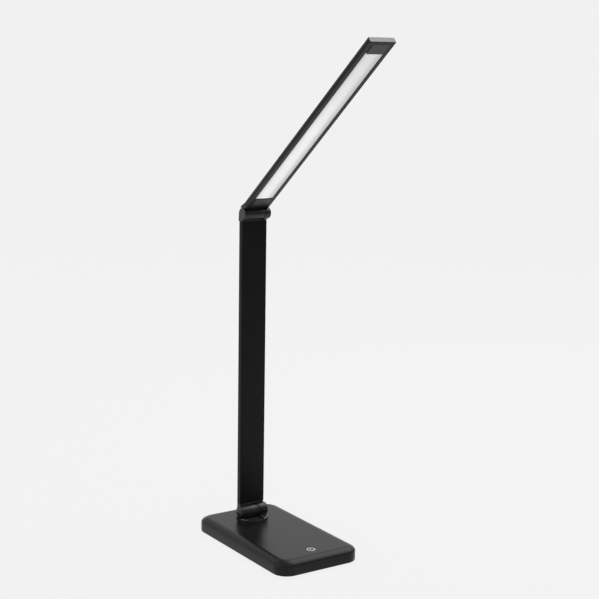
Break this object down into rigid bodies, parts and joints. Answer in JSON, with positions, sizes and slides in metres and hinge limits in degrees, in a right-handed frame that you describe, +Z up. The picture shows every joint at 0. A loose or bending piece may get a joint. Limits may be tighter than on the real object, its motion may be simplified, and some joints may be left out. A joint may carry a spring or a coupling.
{
  "type": "folding desk lamp",
  "caption": "Slim folding desk lamp: flat rounded base with a touch symbol, swivelling friction hinge, upright flat arm and a tilting bar-shaped LED head.",
  "frame": {"origin": "On the swivel axis, where it meets the flat underside of the non-slip pad, so the lamp stands on z = 0.", "axes": "+Z up along the swivel axis and the upright arm; -Y is the front, where the head reaches and the touch symbol lies; +Y is the back, where the power socket is; +X is the user's right-hand side of the lamp as seen from its front, and the lower hinge's lug stands there."},
  "size_m": [0.1, 0.2575, 0.5406],
  "materials": {
    "base_shell": "satin dark grey",
    "tray_plastic": "plain black moulding",
    "pad_rubber": "soft matt black",
    "ballast_steel": "zinc-plated plate",
    "screw_steel": "zinc-plated",
    "board_green": "solder mask",
    "part_black": "moulded black",
    "copper": "bare copper foil",
    "wire_white": "soft insulation",
    "symbol_white": "white inlay",
    "socket_black": "moulded black",
    "contact_brass": "polished contact",
    "glide_plastic": "natural low-friction plastic",
    "friction_brass": "plain washer",
    "hinge_metal": "satin dark grey",
    "collar_metal": "satin grey",
    "hinge_steel": "turned steel",
    "arm_metal": "dark anodised, satin",
    "washer_black": "low-friction plastic",
    "head_metal": "dark anodised, satin",
    "frame_metal": "satin dark grey",
    "diffuser_white": "opal diffuser, lit",
    "guide_clear": "clear light guide",
    "led_board_white": "white-coated metal board",
    "led_yellow": "phosphor",
    "plate_grey": "satin grey",
    "tip_grey": "satin light grey"
  },
  "bodies": {
    "base": {"base_cover": "base_shell", "base_tray": "tray_plastic", "ballast_plate": "ballast_steel", "non_slip_pad": "pad_rubber", "tray_screws": "screw_steel", "control_board": "board_green", "board_parts": "part_black", "board_screws": "screw_steel", "touch_pad": "copper", "touch_wire": "wire_white", "touch_symbol": "symbol_white", "power_socket": "socket_black", "socket_pin": "contact_brass", "base_wire": "wire_white", "glide_ring": "glide_plastic", "friction_washer": "friction_brass"},
    "turntable": {"turntable": "hinge_metal", "spring_washer": "hinge_steel", "swivel_nut": "hinge_steel", "lower_hinge_pin": "hinge_steel", "lower_pin_nut": "hinge_steel", "lug_cap": "hinge_metal"},
    "arm": {"lower_fitting": "hinge_metal", "hinge_collar": "collar_metal", "barrel_cap": "hinge_metal", "arm_tube": "arm_metal", "arm_wires": "wire_white", "arm_screws": "screw_steel", "upper_fitting": "hinge_metal", "upper_hinge_pin": "hinge_steel", "upper_pin_nut": "hinge_steel", "upper_cap": "hinge_metal", "upper_washers": "washer_black"},
    "head": {"head_knuckle": "hinge_metal", "back_cover": "head_metal", "light_frame": "frame_metal", "diffuser": "diffuser_white", "light_guide": "guide_clear", "led_board": "led_board_white", "led_chips": "led_yellow", "lower_end_plate": "plate_grey", "tip_end_plate": "plate_grey", "tip_cap": "tip_grey", "head_wires": "wire_white", "head_screws": "screw_steel"}
  },
  "joints": [
    {"name": "base_swivel", "type": "hinge", "parent": "base", "child": "turntable", "pos_m": [0, 0, 0.016], "axis": [0, 0, 1], "range_deg": [-90, 90]},
    {"name": "arm_fold", "type": "hinge", "parent": "turntable", "child": "arm", "pos_m": [0, 0, 0.0242], "axis": [1, 0, 0], "range_deg": [-15, 90]},
    {"name": "head_tilt", "type": "hinge", "parent": "arm", "child": "head", "pos_m": [0, 0, 0.3567], "axis": [1, 0, 0], "range_deg": [-51.1, 128.9]}
  ]
}
